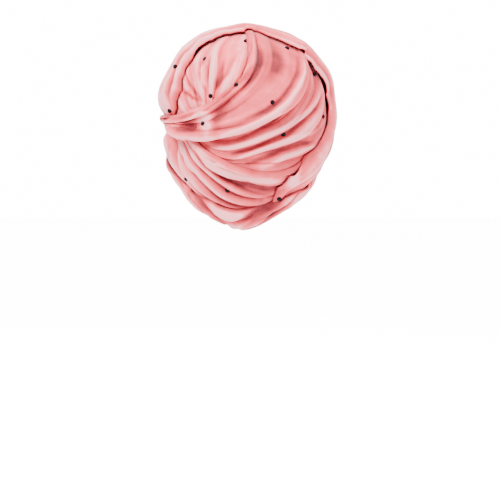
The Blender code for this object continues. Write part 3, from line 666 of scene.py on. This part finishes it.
def shell_mesh(outer, inner, joined=False):
    """Points and faces of a closed sheet between an outer and an inner grid of the same size."""
    rows, columns = outer.shape[:2]
    points = np.concatenate([outer.reshape(-1, 3), inner.reshape(-1, 3)])
    half = rows * columns
    faces = []
    for r in range(rows if joined else rows - 1):
        n = (r + 1) % rows
        for c in range(columns - 1):
            quad = (r * columns + c, r * columns + c + 1, n * columns + c + 1, n * columns + c)
            faces.append(quad)
            faces.append(tuple(half + i for i in reversed(quad)))
        for c, turn in ((0, 1), (columns - 1, -1)):
            a, b = r * columns + c, n * columns + c
            faces.append((a, b, half + b, half + a)[::turn])
    if not joined:
        for r, turn in ((0, -1), (rows - 1, 1)):
            for c in range(columns - 1):
                a, b = r * columns + c, r * columns + c + 1
                faces.append((a, b, half + b, half + a)[::turn])
    return points, faces


def add_piece(name, points, faces, cloth, material, is_smooth=True):
    """Shown piece that stands for the solid of its name; cloth holds its painted shade and highlight, and
    its grain.
    """
    mesh = bpy.data.meshes.new(name)
    mesh.from_pydata([tuple(p) for p in points], [], faces)
    mesh.polygons.foreach_set("use_smooth", [is_smooth] * len(faces))
    mesh.set_sharp_from_angle(angle=math.radians(SHARP_ANGLE))
    if cloth is not None:
        painted_light, grain = cloth
        mesh.attributes.new("painted_light", "FLOAT", "POINT").data.foreach_set("value", painted_light.astype(np.float32))
        spots = mesh.attributes.new("grain", "FLOAT_VECTOR", "POINT")
        spots.data.foreach_set("vector", grain.astype(np.float32).ravel())
    mesh.materials.append(material)
    piece = bpy.data.objects.new(name + "_look", mesh)
    bpy.context.scene.collection.objects.link(piece)
    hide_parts(name)
    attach(piece, "root")


def place(dirs, radii):
    """Points at a radius along each direction."""
    return np.array(MIDDLE) + dirs * radii[..., None]


def tree_of(points, faces):
    """Tree that seats what lies on a piece."""
    return BVHTree.FromPolygons([tuple(p) for p in points], faces)


def crown_cap(material):
    """Plain cap from the crown to just inside the hem."""
    dirs = []
    for azimuth in np.linspace(-180, 180, CAP_SPOKES, endpoint=False):
        low = hem_elevation(azimuth) + HEM_TUCK
        dirs.append([direction(azimuth, e) for e in np.linspace(CAP_TOP, low, CAP_RINGS)])
    dirs = np.array(dirs)
    radii = head_radius(dirs)
    points, faces = shell_mesh(place(dirs, radii + CAP_WALL), place(dirs, radii), joined=True)
    # the whole cap gets one painted shade level
    cloth = np.full(len(points), CAP_PAINTED_LIGHT), points
    add_piece("crown_cap", points, faces, cloth, material)
    return tree_of(points, faces)


def make_band(name, trees, lift=None):
    """Points and faces of a band of folded cloth on the pieces in trees, with its painted shade and
    highlight, and its grain.
    """
    dirs, thick, crest = surfaces[name]
    seats = seats_on(name, trees)
    if lift is not None:
        seats = np.maximum(seats, lift)
    soft = np.clip(thick / (PLEAT_FULL * FOLD_HEIGHT), PLEAT_LEAST, 1)
    change = PLEAT * pleats(dirs, name) * soft + relief(dirs, name)
    outer = seats + EDGE_WALL + np.maximum(thick + change, 0)
    points, faces = shell_mesh(place(dirs, outer), place(dirs, np.maximum(outer - CLOTH, seats)))
    # painted shade sinks into the creases and painted highlight rises on the ridges and small folds
    # some bands get a painted highlight all over
    painted_light = np.clip(crest + PAINTED_HIGHLIGHT.get(name, 0) + change / FOLD_HEIGHT * PAINTED_LIGHT_RELIEF, 0, 1)
    rows, columns = painted_light.shape
    spots = place(dirs, outer)
    along = np.linalg.norm(spots[-1] - spots[0], axis=-1).mean()
    across = np.linalg.norm(spots[:, -1] - spots[:, 0], axis=-1).mean()
    grain = np.meshgrid(np.linspace(0, along, rows), np.linspace(0, across, columns), [0], indexing="ij")
    grain = np.stack(grain, axis=-1).reshape(-1, 3)
    # the inner side gets the deepest painted shade
    cloth = np.concatenate([painted_light, painted_light * 0], axis=None), np.concatenate([grain, grain])
    return points, faces, cloth


def seats_on(name, trees):
    """Radius of the inner side of a named band."""
    return seat(surfaces[name][0], trees)


def roll_surface():
    """Directions over the nape roll, its thickness there and its painted light: strands laid slantwise, with
    painted highlight on the strands and painted shade between them.
    """
    columns = ROLL_COLUMNS // SEAT_COLUMNS * SEAT_COLUMNS + 1
    along = places_along(ROLL_STEPS)
    upper, lower, fullness = edges(ROLL, along)
    dirs, thick, crest = [], [], []
    for v in np.linspace(0, 1, columns):
        dirs.append(unit(upper * (1 - v) + lower * v))
        twist = ROLL_TWISTS * np.hypot(along - ROLL_MIDDLE, ROLL_MEETING) + ROLL_SLANT * v
        strand = np.abs(np.sin(math.pi * twist)) ** STRAND_POWER
        crown = max(0.0, 1 - (2 * v - 1) ** 2) ** 0.5
        thick.append(ROLL_DEPTH * fullness * crown * (1 - STRAND_SHARE + STRAND_SHARE * strand))
        # painted highlight on each strand and toward the roll's middle, painted shade in the creases between
        # strands
        crest.append(strand * crown ** 0.5)
    return tuple(np.stack(grid, axis=1) for grid in (dirs, thick, crest))


def surface_hit(trees, start, ray):
    """Outermost point and outward normal on the line through a point along a ray."""
    limit = FAR + 3 * STONE_WIDTH
    hits = [tree.ray_cast(start + ray * FAR, -ray, limit) for tree in trees]
    hits = [hit for hit in hits if hit[0] is not None]
    if not hits:
        return start, ray
    point, normal, _, _ = min(hits, key=lambda hit: hit[3])
    return point, normal if normal.dot(ray) > 0 else -normal


def ring(axis, radius, count, turn=0.0):
    """Evenly spaced steps round an axis; turn is a share of one spacing."""
    side = axis.orthogonal().normalized()
    other = axis.cross(side)
    angles = [2 * math.pi * (k + turn) / count for k in range(count)]
    return [(side * math.cos(a) + other * math.sin(a)) * radius for a in angles]


def probes(axis):
    """Steps to the points round an axis that seat a stone."""
    return [s for share in STONE_PROBES for s in ring(axis, STONE_WIDTH * share, PROBES_ROUND)]


def rhinestone(name, trees, azimuth, elevation, material):
    """Faceted stone laid flat on the cloth."""
    ray = Vector(direction(azimuth, elevation))
    point, _ = surface_hit(trees, MIDDLE, ray)
    normals = [surface_hit(trees, point + s, ray)[1] for s in probes(ray)]
    normal = sum(normals, Vector()).normalized()
    hits = [surface_hit(trees, point + s, normal)[0] for s in probes(normal)]
    heights = sorted((hit - point).dot(normal) for hit in hits)
    base = point + normal * heights[len(heights) // 2]
    rings = (
        (STONE_WIDTH, 0.0, 0.0),
        (STONE_WIDTH, STONE_GIRDLE, 0.0),
        ((STONE_WIDTH + STONE_TABLE) / 2, (STONE_RISE + STONE_GIRDLE) * STONE_BREAK, 0.5),
        (STONE_TABLE, STONE_RISE, 0.0),
    )
    points = []
    for width, rise, turn in rings:
        points += [base + normal * rise + s for s in ring(normal, width / 2, STONE_SIDES, turn)]
    faces = [tuple(range(STONE_SIDES))[::-1], tuple(range(3 * STONE_SIDES, 4 * STONE_SIDES))]
    for k in range(STONE_SIDES):
        n = (k + 1) % STONE_SIDES
        a, b, c, d = (row * STONE_SIDES for row in range(4))
        faces.append((a + k, a + n, b + n, b + k))
        faces += [(b + k, b + n, c + k), (b + n, c + n, c + k)]
        faces += [(c + k, d + n, d + k), (c + k, c + n, d + n)]
    add_piece(name, points, faces, None, material, is_smooth=False)


def node(tree, kind, settings=None, **links):
    """Shader node; settings are its own or those of its inputs, links what feeds its inputs."""
    made = tree.nodes.new(kind)
    for key, value in (settings or {}).items():
        if hasattr(made, key):
            setattr(made, key, value)
        else:
            made.inputs[key].default_value = value
    for key, output in links.items():
        tree.links.new(output, made.inputs[key])
    return made


def plus_share(tree, value, share, base):
    """A share of one value added to another."""
    made = node(tree, "ShaderNodeMath", {"operation": "MULTIPLY_ADD"})
    made.inputs[1].default_value = share
    tree.links.new(value, made.inputs[0])
    tree.links.new(base, made.inputs[2])
    return made.outputs[0]


def ramp_color(tree, value, stops):
    """Colour read from a value; each stop is a value and its colour."""
    ramp = node(tree, "ShaderNodeValToRGB", Fac=value)
    made = ramp.color_ramp.elements
    made[0].position, made[0].color = stops[0]
    made[1].position, made[1].color = stops[-1]
    for spot, color in stops[1:-1]:
        made.new(spot).color = color
    return ramp.outputs["Color"]


def new_material(name, settings):
    """Material with its shader's settings, its node tree, and its shader."""
    material = bpy.data.materials.new(name)
    material.use_nodes = True
    shader = material.node_tree.nodes["Principled BSDF"]
    for key, value in settings.items():
        shader.inputs[key].default_value = value
    return material, material.node_tree, shader


def velvet_material():
    """Stretch velvet: painted shade makes it deeper in the creases, and a painted highlight makes it pale on
    the crests.
    """
    material, tree, shader = new_material("velvet", VELVET)
    spots = node(tree, "ShaderNodeTexCoord").outputs["Object"]
    painted_light = node(tree, "ShaderNodeAttribute", {"attribute_name": "painted_light"})
    brushed = node(tree, "ShaderNodeTexNoise", BRUSHED, Vector=spots)
    pile = node(tree, "ShaderNodeTexNoise", PILE, Vector=spots)
    grain = node(tree, "ShaderNodeAttribute", {"attribute_name": "grain"})
    stretch = node(tree, "ShaderNodeVectorMath", {"operation": "MULTIPLY"})
    stretch.inputs[1].default_value = STREAKS_IN_METRE
    tree.links.new(grain.outputs["Vector"], stretch.inputs[0])
    streaks = node(tree, "ShaderNodeTexNoise", STREAKS, Vector=stretch.outputs["Vector"])
    # colour from the painted shade in the creases and painted highlight on the crests, with patches and
    # streaks of the pile
    mixed = plus_share(tree, brushed.outputs["Fac"], BRUSHED_SHARE, painted_light.outputs["Fac"])
    mixed = plus_share(tree, streaks.outputs["Fac"], STREAKS_SHARE, mixed)
    tree.links.new(ramp_color(tree, mixed, VELVET_RAMP), shader.inputs["Base Color"])
    fine = node(tree, "ShaderNodeBump", PILE_BUMP, Height=pile.outputs["Fac"])
    coarse = node(
        tree, "ShaderNodeBump", STREAKS_BUMP,
        Height=streaks.outputs["Fac"], Normal=fine.outputs["Normal"],
    )
    tree.links.new(coarse.outputs["Normal"], shader.inputs["Normal"])
    return material


def crystal_material():
    """Near-black polished glass, slightly clouded."""
    material, tree, shader = new_material("crystal", CRYSTAL)
    spots = node(tree, "ShaderNodeTexCoord").outputs["Object"]
    cloud = node(tree, "ShaderNodeTexNoise", CRYSTAL_CLOUD, Vector=spots)
    color = ramp_color(tree, cloud.outputs["Fac"], CRYSTAL_RAMP)
    tree.links.new(color, shader.inputs["Base Color"])
    return material


def seen_brighter(tree, light, seen, socket):
    """Strength that lights the object with one value and shows behind it with another."""
    rays = node(tree, "ShaderNodeLightPath")
    ends = {"To Min": light, "To Max": seen}
    strength = node(tree, "ShaderNodeMapRange", ends, Value=rays.outputs["Is Camera Ray"])
    tree.links.new(strength.outputs["Result"], socket)


def add_floor():
    """Pale floor whose glow only the camera sees."""
    mesh = bpy.data.meshes.new("floor")
    corners = [(x * FLOOR_HALF, y * FLOOR_HALF, 0) for x, y in ((-1, -1), (1, -1), (1, 1), (-1, 1))]
    mesh.from_pydata(corners, [], [(0, 1, 2, 3)])
    floor = bpy.data.objects.new("floor", mesh)
    floor.location.z = FLOOR
    settings = {"Base Color": FLOOR_COLOR, "Roughness": FLOOR_ROUGHNESS, "Emission Color": WHITE}
    material, tree, shader = new_material("floor", settings)
    seen_brighter(tree, 0.0, GLOW, shader.inputs["Emission Strength"])
    mesh.materials.append(material)
    bpy.context.scene.collection.objects.link(floor)


def add_lights():
    """Soft square lights turned to the head's middle, and light from all round."""
    for name, spot, size, power in LIGHTS:
        lamp = bpy.data.lights.new(name, "AREA")
        lamp.size = size
        lamp.energy = power
        light = bpy.data.objects.new(name, lamp)
        light.location = spot
        light.rotation_mode = "QUATERNION"
        light.rotation_quaternion = (MIDDLE - Vector(spot)).to_track_quat("-Z", "Y")
        bpy.context.scene.collection.objects.link(light)
    world = bpy.data.worlds.new("studio")
    world.use_nodes = True
    background = world.node_tree.nodes["Background"]
    background.inputs["Color"].default_value = WHITE
    seen_brighter(world.node_tree, WORLD, BACKDROP, background.inputs["Strength"])
    bpy.context.scene.world = world


def add_camera():
    """Camera behind the head, looking slightly down."""
    camera = bpy.data.cameras.new("camera")
    camera.lens = LENS
    camera.sensor_width = SENSOR
    view = bpy.data.objects.new("camera", camera)
    tilt = math.radians(TILT)
    back = Vector((0, math.cos(tilt), math.sin(tilt)))
    up = Vector((0, -math.sin(tilt), math.cos(tilt)))
    view.location = MIDDLE + back * DISTANCE - up * DROP + Vector((SHIFT, 0, 0))
    view.rotation_mode = "QUATERNION"
    view.rotation_quaternion = (-back).to_track_quat("-Z", "Y")
    bpy.context.scene.collection.objects.link(view)
    bpy.context.scene.camera = view


def build():
    """Pieces from the head outward; each band is seated on those before it."""
    velvet, crystal = velvet_material(), crystal_material()
    trees = [crown_cap(velvet)]

    def lay(name, made):
        """Adds a band and gives the tree that seats what lies on it."""
        points, faces, cloth = made
        add_piece(name, points, faces, cloth, velvet)
        return tree_of(points, faces)

    for name in ("crown_fan", "cross_wrap", "nape_wrap", "brow_wrap", "front_wrap"):
        trees.append(lay(name, make_band(name, trees)))
    drape_draft = tree_of(*make_band("crown_drape", trees)[:2])
    lift = seats_on("rim_wrap", trees + [drape_draft])
    lift[:int(len(lift) * RIM_ROWS_UNDER)] = 0
    rim_tree = lay("rim_wrap", make_band("rim_wrap", trees, lift))
    lift = seats_on("crown_drape", trees + [rim_tree])
    lift[int(len(lift) * DRAPE_ROWS_OVER):] = 0
    trees.append(lay("crown_drape", make_band("crown_drape", trees, lift)))
    trees.append(rim_tree)
    trees.append(lay("hem_roll", make_band("hem_roll", trees)))
    trees.append(lay("side_knot", make_band("side_knot", trees)))
    for number, spot in enumerate(STONES, 1):
        rhinestone(f"rhinestone_{number:02d}", trees, *spot, crystal)


surfaces = {name: band_surface(name) for name in BANDS}
surfaces["hem_roll"] = roll_surface()
build()
add_floor()
add_lights()
add_camera()
